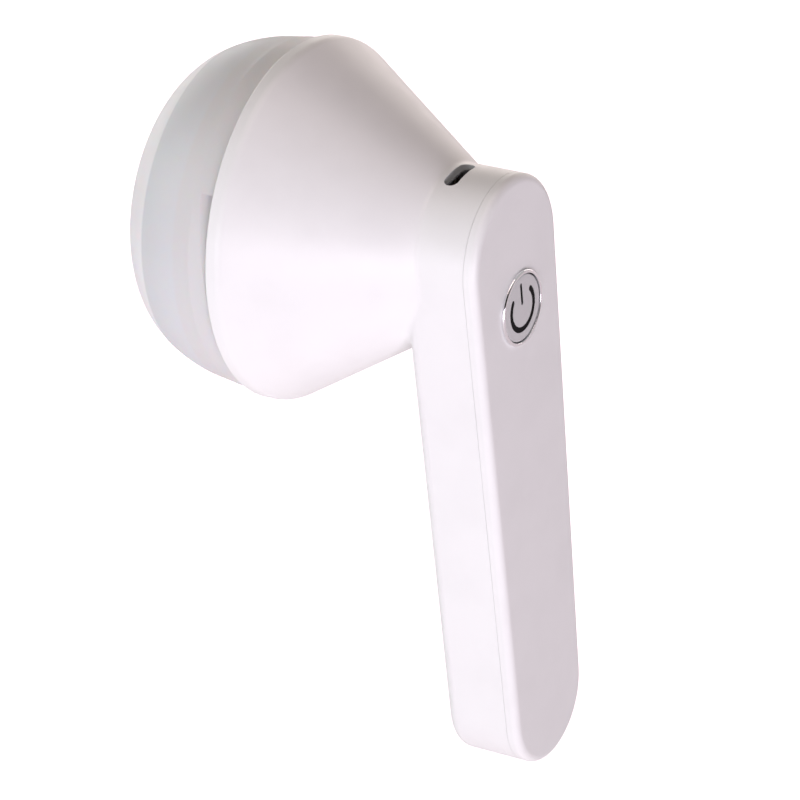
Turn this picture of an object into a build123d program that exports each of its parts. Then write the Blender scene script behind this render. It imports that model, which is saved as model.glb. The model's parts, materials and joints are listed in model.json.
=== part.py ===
"""Massage gun: a wide cone head with a frosted massage dome, on a flat round-ended handle.

Frame: origin at the centre of the dome's flat massage face, +X back towards the button
side of the handle, +Z up, so the handle hangs down. All sizes are in millimetres.
Inside the cone an eccentric-weight motor rides on a carriage, which slides on four guide
bolts between springs; the dome is pushed onto the front of the carriage.
"""
import os
from math import asin, cos, radians, sin

from build123d import *

STROKE = 1.2                 # the dome's travel each way from rest

# ---- dome -----------------------------------------------------------------------------
DOME_DEPTH = 25.3            # flat face to the head's rim
DOME_RADIUS = 35.1
DOME_FLAT_RADIUS = 19.8
DOME_POWER = 2.25            # exponent of the superellipse between flat face and skirt
DOME_WALL = 2.2
DOME_FRONT_WALL = 4.0        # the massage face is thicker, as far back as the step
DOME_STEP_X = 8.0
DOME_SKIRT = 1.6             # length inside the head's mouth
LEDGE_X = 16.85              # the dome's inner ledge stops on the spigot's front end
LEDGE_WIDTH = 0.9
NOTCH_FRONT, NOTCH_BACK = 22.3, 25.8   # finger scoop in the skirt, for pulling the dome off
NOTCH_FROM, NOTCH_TO = 57.0, 101.0     # degrees from the top
NOTCH_DEEP, NOTCH_SHALLOW = 1.45, 0.3  # depth at its back, at those two ends

# ---- head -----------------------------------------------------------------------------
RIM_RADIUS = 36.2
RIM_WIDTH = 2.9              # the cylindrical band behind the rim
RIM_BLEND = 3.0              # round between the band and the cone
CONE_SLOPE = 0.625           # radius lost per length
HEAD_WALL = 2.0
MOUTH_GAP = 0.3              # between the dome and the mouth
MOUTH_DEPTH = DOME_SKIRT + STROKE + 0.3
CONE_END = 62.0              # the cone runs out inside the handle

# ---- handle ---------------------------------------------------------------------------
HANDLE_FRONT = 56.3
HANDLE_BACK = 73.05
PARTING = 70.4               # front of the back cover's rim
PARTING_GAP = 0.07           # shadow line between the body shell and the back cover
TOP_RADIUS, TOP_Z = 16.0, 0.92
BOTTOM_RADIUS, BOTTOM_Z = 13.4, -101.4
FRONT_ROUND = 2.6
JUNCTION_ROUND = 1.5         # where the cone runs into the handle
BACK_ROUND = 1.6
WALL = 1.8
COVER_PLATE = 2.0
LIP = 1.0                    # the cover's lip, inside the shell
LIP_GAP = 0.1
LIP_DEPTH = 2.0
SNAP_HEIGHTS = (-35.0, -68.0, -98.0)
POCKET_FRONT = HANDLE_FRONT + WALL
COVER_INSIDE = HANDLE_BACK - COVER_PLATE

# ---- carriage, guide bolts and springs ------------------------------------------------
PLATE_FRONT, PLATE_BACK = 26.2, 28.2
SPIGOT_FRONT, SPIGOT_BACK = LEDGE_X + 0.05, 27.5
SPIGOT_RADIUS = DOME_RADIUS - DOME_WALL - 0.06
SPIGOT_INSIDE = 30.0
PLATE_RIB, PLATE_RIB_FROM, PLATE_RIB_HEIGHT = 1.2, 17.4, 1.6
SEAL_X, SEAL_SECTION = 24.2, 0.95
BOLT_CIRCLE = 22.0
BOLT_ANGLES = (45, 135, 225, 315)
BOLT_RADIUS = 2.0
BOLT_HEAD_RADIUS, BOLT_HEAD_X = 3.4, 15.0
BOLT_HEAD = 2.0
BOLT_THREAD_RADIUS = 1.5
BOSS_FRONT = 38.0
BOSS_RADIUS = 3.2
BUSH_RADIUS, BUSH_FLANGE_RADIUS, BUSH_FLANGE = 3.0, 4.2, 0.8
RUNNING_GAP = 0.04
WASHER = 0.5
WIRE_RADIUS = 0.3
SPRING_RADIUS = 2.85         # to the middle of the wire
SPRING_END_GAP = 0.06

# ---- motor, its axis along Y ----------------------------------------------------------
MOTOR_X = 39.0
CAN_RADIUS, CAN_FLAT = 10.0, 7.55
CAN_WALL = 0.8
CAN_FROM, CAN_TO, MOTOR_END = -12.5, 9.5, 12.5
BEARING_BOSS = 1.2
SHAFT_RADIUS, SHAFT_HALF = 1.0, 20.2
ARMATURE_RADIUS = 6.2
MAGNET_INSIDE = 6.6
ARM_ANGLES = (0, 120, 240)
ARM_HALF_WIDTH = 1.1
CORE_FROM, CORE_TO = -7.5, 5.5
WEIGHT_RADIUS, WEIGHT_LENGTH, WEIGHT_FROM = 8.0, 5.0, 14.2
STRAP, STRAP_HALF_WIDTH = 0.6, 4.0
PILLAR_Z, PILLAR_BACK = 13.5, 33.0

# ---- light ring -----------------------------------------------------------------------
LIGHT_INSIDE, LIGHT_OUTSIDE, LIGHT_BOARD = 8.0, 16.5, 1.0
LED_CIRCLE, LED_SIZE, LED_HEIGHT, LED_COUNT = 12.5, 3.0, 1.2, 6
LIGHT_SCREW_CIRCLE = 14.6

# ---- electronics ----------------------------------------------------------------------
BOARD_FRONT, BOARD = 63.4, 1.2
BOARD_HALF_WIDTH = 9.0
BOARD_LOW, BOARD_HIGH = -38.0, 13.3
BOARD_BACK = BOARD_FRONT + BOARD
BOARD_SCREWS = ((-6.6, 1.5), (6.6, 1.5), (-6.6, -33.0), (6.6, -33.0))
SCREW_RADIUS = 0.95
COVER_SCREWS = ((-11.9, -4.0), (11.9, -4.0))
USB_X, USB_MOUTH_Z, USB_LENGTH = 61.8, 15.1, 7.3
USB_WIDTH, USB_HEIGHT, USB_WALL = 8.94, 3.2, 0.3
SLOT_LENGTH, SLOT_WIDTH = 9.0, 3.0
BATTERY_FRONT, BATTERY_THICK, BATTERY_WIDTH = 59.6, 8.5, 20.0
BATTERY_LOW, BATTERY_HIGH = -104.0, -49.0
WIRE_HOLE_Z, WIRE_HOLE_RADIUS = -8.0, 3.5
LEAD_RADIUS = 0.6

# ---- power button ---------------------------------------------------------------------
BUTTON_Z = -10.35
RING_RADIUS, RING_INSIDE, RING_PROUD = 7.65, 6.95, 0.7
CAP_RADIUS, CAP_PROUD = 6.77, 0.5
CAP_FACE = HANDLE_BACK + CAP_PROUD
FLANGE_RADIUS, FLANGE = 7.6, 1.0
TRAVEL = 0.5
SYMBOL_RADIUS, SYMBOL_STROKE, SYMBOL_DEPTH = 4.35, 1.15, 0.3
SYMBOL_OPEN = 52             # degrees each side of the top
BAR_LOW, BAR_HIGH, BAR_STROKE = 0.7, 5.4, 0.8
SWITCH_SIZE, SWITCH_BACK, PLUNGER_BACK = 6.0, 66.4, 67.3

ALONG_X = (1, 0, 0)
ALONG_Y = (0, 1, 0)


# ---- helpers --------------------------------------------------------------------------
def rod_x(radius, x_from, x_to, y=0.0, z=0.0):
    """Cylinder along X."""
    middle = Pos((x_from + x_to) / 2, y, z) * Rot(0, 90, 0)
    return middle * Cylinder(radius, x_to - x_from)


def rod_y(radius, y_from, y_to, x=MOTOR_X, z=0.0):
    """Cylinder along Y, on the motor's axis unless placed elsewhere."""
    middle = Pos(x, (y_from + y_to) / 2, z) * Rot(90, 0, 0)
    return middle * Cylinder(radius, y_to - y_from)


def rod_z(radius, z_from, z_to, x, y):
    return Pos(x, y, (z_from + z_to) / 2) * Cylinder(radius, z_to - z_from)


def tube_x(outer, inner, x_from, x_to, y=0.0, z=0.0):
    return rod_x(outer, x_from, x_to, y, z) - rod_x(inner, x_from, x_to, y, z)


def block(x_from, x_to, y_from, y_to, z_from, z_to):
    size = Box(x_to - x_from, y_to - y_from, z_to - z_from)
    return Pos((x_from + x_to) / 2, (y_from + y_to) / 2, (z_from + z_to) / 2) * size


def group(shapes):
    """Separate solids that share one node."""
    return Compound([solid for shape in shapes for solid in shape.solids()])


def around_x(angle, radius):
    """A point's y and z at an angle from the top, turning towards +Y."""
    return radius * sin(radians(angle)), radius * cos(radians(angle))


def lead(points, bend, radius=LEAD_RADIUS):
    """Insulated wire along straight runs joined by arcs."""
    path = FilletPolyline(*points, radius=bend)
    start = Vector(*points[0])
    section = Plane(origin=start, z_dir=Vector(*points[1]) - start) * Circle(radius)
    return sweep(section, path=path)


def spring(x_from, x_to, turns, y, z):
    """Helical compression spring along X, clear of its seats."""
    low = x_from + WIRE_RADIUS + SPRING_END_GAP
    length = x_to - x_from - 2 * (WIRE_RADIUS + SPRING_END_GAP)
    path = Helix(pitch=length / turns, height=length, radius=SPRING_RADIUS)
    section = Plane(origin=path @ 0, z_dir=path % 0) * Circle(WIRE_RADIUS)
    coil = sweep(section, path=path, is_frenet=True)
    return Pos(low, y, z) * Rot(0, 90, 0) * coil


def cone_radius(x):
    return RIM_RADIUS - CONE_SLOPE * (x - DOME_DEPTH - RIM_WIDTH)


def handle_half_width(z, inset=0.0):
    lean = asin((TOP_RADIUS - BOTTOM_RADIUS) / (TOP_Z - BOTTOM_Z))
    return (TOP_RADIUS - inset - sin(lean) * (TOP_Z - z)) / cos(lean)


def handle_outline(inset=0.0):
    """The handle seen along X: two round ends joined by straight, tapering sides."""
    lean = asin((TOP_RADIUS - BOTTOM_RADIUS) / (TOP_Z - BOTTOM_Z))

    def tangent_point(radius, centre_z, side):
        reach = radius - inset
        return side * reach * cos(lean), centre_z - reach * sin(lean)

    top_right = tangent_point(TOP_RADIUS, TOP_Z, 1)
    top_left = tangent_point(TOP_RADIUS, TOP_Z, -1)
    low_left = tangent_point(BOTTOM_RADIUS, BOTTOM_Z, -1)
    low_right = tangent_point(BOTTOM_RADIUS, BOTTOM_Z, 1)
    return make_face([
        ThreePointArc(top_right, (0, TOP_Z + TOP_RADIUS - inset), top_left),
        Line(top_left, low_left),
        ThreePointArc(low_left, (0, BOTTOM_Z - BOTTOM_RADIUS + inset), low_right),
        Line(low_right, top_right),
    ])


def handle_slab(inset, x_from, x_to):
    return extrude(Plane.YZ.offset(x_from) * handle_outline(inset), x_to - x_from, dir=ALONG_X)


def bolt_places():
    return [around_x(angle, BOLT_CIRCLE) for angle in BOLT_ANGLES]


# ---- dome -----------------------------------------------------------------------------
def dome_curve(front_x, flat_radius, side_radius):
    """Superellipse from the edge of the flat face to the skirt, in the XY plane."""
    depth = DOME_DEPTH - front_x

    def point(angle):
        forward = cos(radians(angle)) ** (2 / DOME_POWER)
        outward = sin(radians(angle)) ** (2 / DOME_POWER)
        return DOME_DEPTH - depth * forward, flat_radius + (side_radius - flat_radius) * outward

    return Spline(*[point(angle) for angle in range(0, 91, 10)], tangents=((0, 1), (1, 0)))


def finger_notch():
    """Cutter for a scoop whose floor slopes down towards the rim and runs out downwards."""
    reach = 2 * DOME_RADIUS
    middle = (NOTCH_FROM + NOTCH_TO) / 2
    corners = [(0, 0)] + [around_x(-angle, reach) for angle in (NOTCH_FROM, middle, NOTCH_TO)]
    sector = extrude(Plane.YZ.offset(NOTCH_FRONT) * make_face(Polyline(*corners, close=True)),
                     NOTCH_BACK - NOTCH_FRONT, dir=ALONG_X)
    # The floor is a cone whose axis is shifted, so the scoop gets shallower.
    away = NOTCH_TO + 20
    near, far = cos(radians(away - NOTCH_FROM)), cos(radians(away - NOTCH_TO))
    shift = (NOTCH_DEEP - NOTCH_SHALLOW) / (far - near)
    back_radius = DOME_RADIUS - NOTCH_SHALLOW - shift * far
    slope = NOTCH_DEEP / (NOTCH_BACK - NOTCH_FRONT)
    length = NOTCH_BACK - NOTCH_FRONT + 2
    floor = Cone(back_radius + slope * (length - 1), back_radius - slope, length)
    y, z = around_x(-away, shift)
    return sector - Pos((NOTCH_FRONT + NOTCH_BACK) / 2, y, z) * Rot(0, 90, 0) * floor


def dome_solid(front_x, flat_radius, side_radius, back_x):
    """Solid of revolution with the dome's profile, closed by a cylinder at its back."""
    profile = make_face([
        dome_curve(front_x, flat_radius, side_radius),
        Polyline((DOME_DEPTH, side_radius), (back_x, side_radius), (back_x, 0),
                 (front_x, 0), (front_x, flat_radius)),
    ])
    return revolve(profile, Axis.X)


def massage_dome():
    skirt_end = DOME_DEPTH + DOME_SKIRT
    bore = DOME_RADIUS - DOME_WALL
    inner_side = bore - LEDGE_WIDTH
    dome = dome_solid(0, DOME_FLAT_RADIUS, DOME_RADIUS, skirt_end)
    hollow = dome_solid(DOME_WALL, DOME_FLAT_RADIUS - DOME_WALL / 2, inner_side, skirt_end + 1)
    thick_front = dome_solid(DOME_FRONT_WALL, DOME_FLAT_RADIUS - DOME_FRONT_WALL / 2,
                             inner_side - DOME_FRONT_WALL / 2, skirt_end + 1)
    dome -= thick_front
    dome -= hollow - rod_x(DOME_RADIUS, 0, DOME_STEP_X)
    dome -= rod_x(bore, LEDGE_X, skirt_end + 1)
    notch = finger_notch()
    return dome - notch - mirror(notch, Plane.XZ)


# ---- body shell -----------------------------------------------------------------------
def head_cone():
    profile = make_face(Polyline(
        (DOME_DEPTH, 0), (DOME_DEPTH, RIM_RADIUS), (DOME_DEPTH + RIM_WIDTH, RIM_RADIUS),
        (CONE_END, cone_radius(CONE_END)), (CONE_END, 0), close=True))
    shoulder = profile.vertices().sort_by_distance((DOME_DEPTH + RIM_WIDTH, RIM_RADIUS))[0]
    profile = fillet(shoulder, RIM_BLEND)
    rim = profile.vertices().sort_by_distance((DOME_DEPTH, RIM_RADIUS))[0]
    return revolve(fillet(rim, 0.4), Axis.X)


def head_hollow():
    """The mouth's short cylinder, then a cone that keeps the wall even."""
    slope_wall = HEAD_WALL * (1 + CONE_SLOPE ** 2) ** 0.5
    mouth = DOME_RADIUS + MOUTH_GAP
    mouth_end = DOME_DEPTH + MOUTH_DEPTH
    profile = make_face(Polyline(
        (DOME_DEPTH - 1, 0), (DOME_DEPTH - 1, mouth), (mouth_end, mouth),
        (mouth_end, cone_radius(mouth_end) - slope_wall),
        (HANDLE_FRONT, cone_radius(HANDLE_FRONT) - slope_wall), (HANDLE_FRONT, 0), close=True))
    return revolve(profile, Axis.X)


def usb_slot():
    """Round-ended slot through the handle's top wall, with a seat for the socket inside."""
    slot = Plane((USB_X, 0, USB_MOUTH_Z - 2)) * SlotOverall(SLOT_LENGTH, SLOT_WIDTH, rotation=90)
    seat = block(USB_X - 1.8, USB_X + 1.8, -4.7, 4.7, USB_MOUTH_Z - 3, USB_MOUTH_Z + 0.1)
    return extrude(slot, 6, dir=(0, 0, 1)) + seat


def body_shell():
    slab = handle_slab(0, HANDLE_FRONT, PARTING - PARTING_GAP)
    slab = fillet(slab.faces().sort_by(Axis.X)[0].edges(), FRONT_ROUND)
    cone = head_cone()
    outside = slab + cone
    outside = fillet(new_edges(slab, cone, combined=outside), JUNCTION_ROUND)
    shell = outside - head_hollow() - handle_slab(WALL, POCKET_FRONT, PARTING + 1)
    for y, z in bolt_places():
        shell += rod_x(BOSS_RADIUS, BOSS_FRONT, BOSS_FRONT + 16, y, z) & cone
    for y, z in bolt_places():
        shell -= rod_x(BOLT_THREAD_RADIUS, BOSS_FRONT - 1, BOSS_FRONT + 8.5, y, z)
    for y, z in BOARD_SCREWS:
        shell += tube_x(2.1, SCREW_RADIUS, POCKET_FRONT - 0.2, BOARD_FRONT, y, z)
    for y, z in COVER_SCREWS:
        shell -= rod_x(1.25, HANDLE_FRONT - 1, POCKET_FRONT + 1, y, z)
    shell -= rod_x(WIRE_HOLE_RADIUS, HANDLE_FRONT - 1, POCKET_FRONT + 1, 0, WIRE_HOLE_Z)
    for z in SNAP_HEIGHTS:
        inside = handle_half_width(z, WALL)
        for side in (-1, 1):
            y_from, y_to = sorted((side * (inside - 1), side * (inside + 0.75)))
            shell -= block(PARTING - 1.6, PARTING - 0.7, y_from, y_to, z - 3.2, z + 3.2)
    return shell - usb_slot()


# ---- back cover -----------------------------------------------------------------------
def back_cover():
    cover = handle_slab(0, PARTING, HANDLE_BACK)
    cover = fillet(cover.faces().sort_by(Axis.X)[-1].edges(), BACK_ROUND)
    cover -= handle_slab(WALL, PARTING - 1, COVER_INSIDE)
    lip_outside = WALL + LIP_GAP
    lip = handle_slab(lip_outside, PARTING - LIP_DEPTH, COVER_INSIDE + 0.2)
    cover += lip - handle_slab(lip_outside + LIP, PARTING - LIP_DEPTH - 1, COVER_INSIDE + 1)
    for z in SNAP_HEIGHTS:
        edge = handle_half_width(z, lip_outside)
        for side in (-1, 1):
            y_from, y_to = sorted((side * (edge - 0.5), side * (edge + 0.6)))
            cover += block(PARTING - 1.5, PARTING - 0.8, y_from, y_to, z - 3, z + 3)
    for y, z in COVER_SCREWS:
        cover += rod_x(2.1, POCKET_FRONT, COVER_INSIDE + 0.2, y, z)
        cover -= rod_x(SCREW_RADIUS, POCKET_FRONT - 1, POCKET_FRONT + 9, y, z)
    cover += tube_x(9.8, 8.6, COVER_INSIDE - 1.8, COVER_INSIDE + 0.2, 0, BUTTON_Z)
    rib_front = BATTERY_FRONT + BATTERY_THICK + 0.2
    for z in (-60.0, -76.0, -92.0):
        cover += block(rib_front, COVER_INSIDE + 0.2, -9, 9, z - 0.6, z + 0.6)
    return cover - rod_x(ring_seat(), COVER_INSIDE - 1, HANDLE_BACK + 1, 0, BUTTON_Z)


def cover_screws():
    screws = []
    for y, z in COVER_SCREWS:
        head = rod_x(2.1, HANDLE_FRONT - 1.5, HANDLE_FRONT, y, z)
        shank = rod_x(SCREW_RADIUS, HANDLE_FRONT - 1, POCKET_FRONT + 8, y, z)
        screws.append(head + shank - cross_recess(HANDLE_FRONT - 1.5, y, z, 1.0))
    return group(screws)


def cross_recess(x, y, z, half):
    """Cross slot cut into a screw head whose face is at x, opening towards -X."""
    across = block(x - 1, x + 0.8, y - half, y + half, z - 0.25, z + 0.25)
    return across + block(x - 1, x + 0.8, y - 0.25, y + 0.25, z - half, z + half)


# ---- button ---------------------------------------------------------------------------
def ring_seat():
    return RING_INSIDE + 0.37


def button_ring():
    tube = tube_x(ring_seat(), RING_INSIDE, COVER_INSIDE, HANDLE_BACK, 0, BUTTON_Z)
    rim = tube_x(RING_RADIUS, RING_INSIDE, HANDLE_BACK, HANDLE_BACK + RING_PROUD, 0, BUTTON_Z)
    ring = tube + rim
    outer_edge = rear_circles(ring)[-1]
    ring = fillet(outer_edge, 0.35)
    inner_edge = rear_circles(ring)[0]
    return fillet(inner_edge, 0.12)


def rear_circles(shape):
    """The circles of a shape's rearmost face, by growing radius."""
    circles = shape.edges().filter_by(GeomType.CIRCLE)
    return circles.group_by(Axis.X)[-1].sort_by(SortBy.RADIUS)


def power_symbol():
    """Open ring and a bar at its gap, two solids standing on the floor of the cap's recess."""
    plane = Plane.YZ.offset(CAP_FACE - SYMBOL_DEPTH) * Pos(0, BUTTON_Z)
    half = SYMBOL_STROKE / 2
    arc = Circle(SYMBOL_RADIUS + half) - Circle(SYMBOL_RADIUS - half)
    reach = 3 * SYMBOL_RADIUS
    gap_y, gap_z = around_x(SYMBOL_OPEN, reach)
    arc -= make_face(Polyline((0, 0), (-gap_y, gap_z), (gap_y, gap_z), close=True))
    for side in (-1, 1):
        end_y, end_z = around_x(side * SYMBOL_OPEN, SYMBOL_RADIUS)
        arc += Pos(end_y, end_z) * Circle(half)
    length = BAR_HIGH - BAR_LOW
    bar = Pos(0, (BAR_HIGH + BAR_LOW) / 2) * SlotOverall(length, BAR_STROKE, rotation=90)
    depth = SYMBOL_DEPTH - 0.06
    return group([extrude(plane * arc, depth, dir=ALONG_X), extrude(plane * bar, depth, dir=ALONG_X)])


def power_button(symbol):
    flange_back = COVER_INSIDE - 0.07
    cap = rod_x(CAP_RADIUS, flange_back - FLANGE, CAP_FACE, 0, BUTTON_Z)
    face_edge = cap.edges().filter_by(GeomType.CIRCLE).sort_by(Axis.X)[-1]
    cap = fillet(face_edge, 0.3)
    cap += rod_x(FLANGE_RADIUS, flange_back - FLANGE, flange_back, 0, BUTTON_Z)
    cap -= rod_x(CAP_RADIUS - 1.4, flange_back - FLANGE - 1, CAP_FACE - 1.3, 0, BUTTON_Z)
    cap += rod_x(1.6, PLUNGER_BACK, CAP_FACE - 1, 0, BUTTON_Z)
    recess = [extrude(face, CAP_FACE, dir=ALONG_X)
              for face in symbol.faces().filter_by(Axis.X).group_by(Axis.X)[0]]
    for pocket in recess:
        cap -= pocket
    return cap


def switch_body():
    half = SWITCH_SIZE / 2
    body = block(BOARD_BACK, SWITCH_BACK, -half, half, BUTTON_Z - half, BUTTON_Z + half)
    body = fillet(body.edges().filter_by(Axis.X), 0.5)
    return body - rod_x(1.05, BOARD_BACK + 0.2, SWITCH_BACK + 1, 0, BUTTON_Z)


def switch_plunger():
    return rod_x(1.0, BOARD_BACK + 0.2 + TRAVEL + 0.1, PLUNGER_BACK, 0, BUTTON_Z)


# ---- main board -----------------------------------------------------------------------
def main_board():
    outline = handle_slab(WALL + 0.6, BOARD_FRONT, BOARD_BACK)
    board = outline & block(BOARD_FRONT, BOARD_BACK, -BOARD_HALF_WIDTH, BOARD_HALF_WIDTH,
                            BOARD_LOW, BOARD_HIGH)
    for y, z in BOARD_SCREWS:
        board -= rod_x(1.1, BOARD_FRONT - 1, BOARD_BACK + 1, y, z)
    return board


def board_components():
    """Charger and motor-driver chips, an inductor, capacitors and two rows of resistors."""
    back = BOARD_BACK
    chips = [
        block(back, back + 0.9, -6.5, -1.5, -25.5, -20.5),
        block(back, back + 0.9, 2.0, 6.0, -24.5, -20.5),
        fillet(block(back, back + 2.0, -2.5, 2.5, 3.0, 8.0).edges().filter_by(Axis.X), 0.9),
        rod_x(2.0, back, back + 2.6, 6.0, -27.5),
    ]
    for step in range(4):
        z = -29.5 + 1.8 * step
        chips.append(block(back, back + 0.5, -2.0, -1.0, z, z + 0.6))
        chips.append(block(back, back + 0.5, 0.4, 1.4, z, z + 0.6))
    return group(chips)


def usb_tube(grow):
    """Round-ended section of the socket, grown by a wall or shrunk."""
    section = SlotOverall(USB_WIDTH + 2 * grow, USB_HEIGHT + 2 * grow, rotation=90)
    return Plane((USB_X, 0, USB_MOUTH_Z - USB_LENGTH)) * section


def usb_shell():
    shell = extrude(usb_tube(0), USB_LENGTH, dir=(0, 0, 1))
    return shell - extrude(usb_tube(-USB_WALL), USB_LENGTH, dir=(0, 0, 1))


def usb_tongue():
    floor = USB_MOUTH_Z - USB_LENGTH
    base = extrude(usb_tube(-USB_WALL), 1.6, dir=(0, 0, 1))
    return base + block(USB_X - 0.35, USB_X + 0.35, -3.35, 3.35, floor + 1, USB_MOUTH_Z - 0.9)


def plug_housing(z_from, z_to, mouth_z):
    """Small wire connector on the board's front, hollow at the side that takes the leads."""
    body = block(BOARD_FRONT - 3.2, BOARD_FRONT, -3.4, 3.4, z_from, z_to)
    low, high = sorted((mouth_z, (z_from + z_to) / 2))
    for y in (-1.5, 1.5):
        body -= rod_z(LEAD_RADIUS, low - 0.01, high + 0.01, BOARD_FRONT - 1.6, y)
    return body


def board_screws():
    screws = []
    for y, z in BOARD_SCREWS:
        head = rod_x(1.9, BOARD_BACK, BOARD_BACK + 1.2, y, z)
        shank = rod_x(SCREW_RADIUS, BOARD_FRONT - 4, BOARD_BACK + 0.5, y, z)
        recess = block(BOARD_BACK + 0.6, BOARD_BACK + 2, y - 1, y + 1, z - 0.25, z + 0.25)
        recess += block(BOARD_BACK + 0.6, BOARD_BACK + 2, y - 0.25, y + 0.25, z - 1, z + 1)
        screws.append(head + shank - recess)
    return group(screws)


# ---- battery --------------------------------------------------------------------------
def battery_cell():
    half = BATTERY_WIDTH / 2
    cell = block(BATTERY_FRONT, BATTERY_FRONT + BATTERY_THICK, -half, half,
                 BATTERY_LOW, BATTERY_HIGH)
    return fillet(cell.edges().filter_by(Axis.Z), 2.4)


def battery_circuit():
    middle = BATTERY_FRONT + BATTERY_THICK / 2
    board = block(middle - 0.5, middle + 0.5, -8, 8, BATTERY_HIGH, BATTERY_HIGH + 4)
    for y in (-4.0, 1.0):
        board += block(middle + 0.5, middle + 1.5, y, y + 3, BATTERY_HIGH + 0.8, BATTERY_HIGH + 3.2)
    return board


def battery_pads():
    return group([
        block(POCKET_FRONT, BATTERY_FRONT, -8, 8, low, low + 12)
        for low in (BATTERY_LOW + 4, BATTERY_HIGH - 16)])


def battery_lead(side):
    start_z = BATTERY_HIGH + 4
    start_x = BATTERY_FRONT + BATTERY_THICK / 2
    plug_x = BOARD_FRONT - 1.6
    return lead([(start_x, side * 4, start_z), (start_x, side * 4, start_z + 2.2),
                 (plug_x, side * 1.5, BOARD_LOW - 0.6), (plug_x, side * 1.5, BOARD_LOW + 4.5)], 1.2)


# ---- carriage -------------------------------------------------------------------------
def can_section(radius, flat, grow=0.0):
    """The motor's round section with two flats across X, seen along Y."""
    return Circle(radius + grow) & Rectangle(2 * (flat + grow), 4 * radius)


def can_solid(radius, flat, y_from, y_to, grow=0.0):
    plane = Plane(origin=(MOTOR_X, y_from, 0), x_dir=ALONG_X, z_dir=ALONG_Y)
    return extrude(plane * can_section(radius, flat, grow), y_to - y_from, dir=ALONG_Y)


def carriage():
    plate = rod_x(31.4, PLATE_FRONT, PLATE_BACK)
    spigot = tube_x(SPIGOT_RADIUS, SPIGOT_INSIDE, SPIGOT_FRONT, SPIGOT_BACK)
    body = plate + spigot
    rib = block(PLATE_FRONT - PLATE_RIB_HEIGHT, PLATE_FRONT + 0.2, -PLATE_RIB / 2, PLATE_RIB / 2,
                PLATE_RIB_FROM, SPIGOT_INSIDE + 0.4)
    for angle in BOLT_ANGLES:
        body += [Rot(angle + turn, 0, 0) * rib for turn in (-22.5, 22.5)]
    for side in (-8.0, 8.0):
        body += block(PLATE_BACK - 0.2, 34.0, side - 1, side + 1, -10.5, 10.5)
    for side in (-1, 1):
        body += rod_x(2.6, PLATE_BACK - 0.2, PILLAR_BACK, 0, side * PILLAR_Z)
        body -= rod_x(SCREW_RADIUS, PILLAR_BACK - 4.5, PILLAR_BACK + 1, 0, side * PILLAR_Z)
    body -= can_solid(CAN_RADIUS, CAN_FLAT, -MOTOR_END, MOTOR_END, grow=0.02)
    for y, z in bolt_places():
        body -= rod_x(BUSH_RADIUS, PLATE_FRONT - 1, PLATE_BACK + 1, y, z)
    for y, z in light_screw_places():
        body -= rod_x(0.8, PLATE_FRONT - 1, PLATE_BACK + 1, y, z)
    body -= rod_x(1.8, PLATE_FRONT - 1, PLATE_BACK + 1, 10.6, 11.4)
    groove = tube_x(SPIGOT_RADIUS + 1, SPIGOT_RADIUS - 1.9, SEAL_X - 1.0, SEAL_X + 1.0)
    return body - groove


def dome_seal():
    """Rubber ring in the spigot's groove; it grips the dome."""
    major = SPIGOT_RADIUS - SEAL_SECTION
    return Pos(SEAL_X, 0, 0) * Rot(0, 90, 0) * Torus(major, SEAL_SECTION)


def slide_bushes():
    bushes = []
    for y, z in bolt_places():
        bore = BOLT_RADIUS + RUNNING_GAP
        flange = tube_x(BUSH_FLANGE_RADIUS, bore, PLATE_FRONT - BUSH_FLANGE, PLATE_FRONT, y, z)
        bushes.append(flange + tube_x(BUSH_RADIUS, bore, PLATE_FRONT, PLATE_BACK, y, z))
    return group(bushes)


def guide_bolts():
    bolts = []
    for y, z in bolt_places():
        head = rod_x(BOLT_HEAD_RADIUS, BOLT_HEAD_X, BOLT_HEAD_X + BOLT_HEAD, y, z)
        shank = rod_x(BOLT_RADIUS, BOLT_HEAD_X + 1, BOSS_FRONT, y, z)
        thread = rod_x(BOLT_THREAD_RADIUS, BOSS_FRONT - 1, BOSS_FRONT + 7.5, y, z)
        bolts.append(head + shank + thread - cross_recess(BOLT_HEAD_X, y, z, 1.6))
    return group(bolts)


def bolt_washers():
    seat = BOLT_HEAD_X + BOLT_HEAD
    return group([tube_x(BOLT_HEAD_RADIUS, BOLT_RADIUS + RUNNING_GAP, seat, seat + WASHER, y, z)
                  for y, z in bolt_places()])


def front_springs():
    seat = BOLT_HEAD_X + BOLT_HEAD + WASHER
    return group([spring(seat, PLATE_FRONT - BUSH_FLANGE, 5, y, z) for y, z in bolt_places()])


def rear_springs():
    return group([spring(PLATE_BACK, BOSS_FRONT, 6, y, z) for y, z in bolt_places()])


# ---- light ring -----------------------------------------------------------------------
def light_screw_places():
    return [around_x(angle, LIGHT_SCREW_CIRCLE) for angle in (0, 120, 240)]


def light_board():
    board = tube_x(LIGHT_OUTSIDE, LIGHT_INSIDE, PLATE_FRONT - LIGHT_BOARD, PLATE_FRONT)
    for y, z in light_screw_places():
        board -= rod_x(0.95, PLATE_FRONT - 3, PLATE_FRONT + 1, y, z)
    return board - rod_x(1.8, PLATE_FRONT - 3, PLATE_FRONT + 1, 10.6, 11.4)


def light_leds():
    back = PLATE_FRONT - LIGHT_BOARD
    half = LED_SIZE / 2
    leds = []
    for step in range(LED_COUNT):
        angle = 30 + 360 / LED_COUNT * step
        led = block(back - LED_HEIGHT, back, -half, half, LED_CIRCLE - half, LED_CIRCLE + half)
        leds.append(Rot(-angle, 0, 0) * led)
    return group(leds)


def light_board_screws():
    back = PLATE_FRONT - LIGHT_BOARD
    return group([rod_x(1.5, back - 1, back, y, z) + rod_x(0.8, back - 0.5, PLATE_BACK - 0.3, y, z)
                  - cross_recess(back - 1, y, z, 0.8) for y, z in light_screw_places()])


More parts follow.
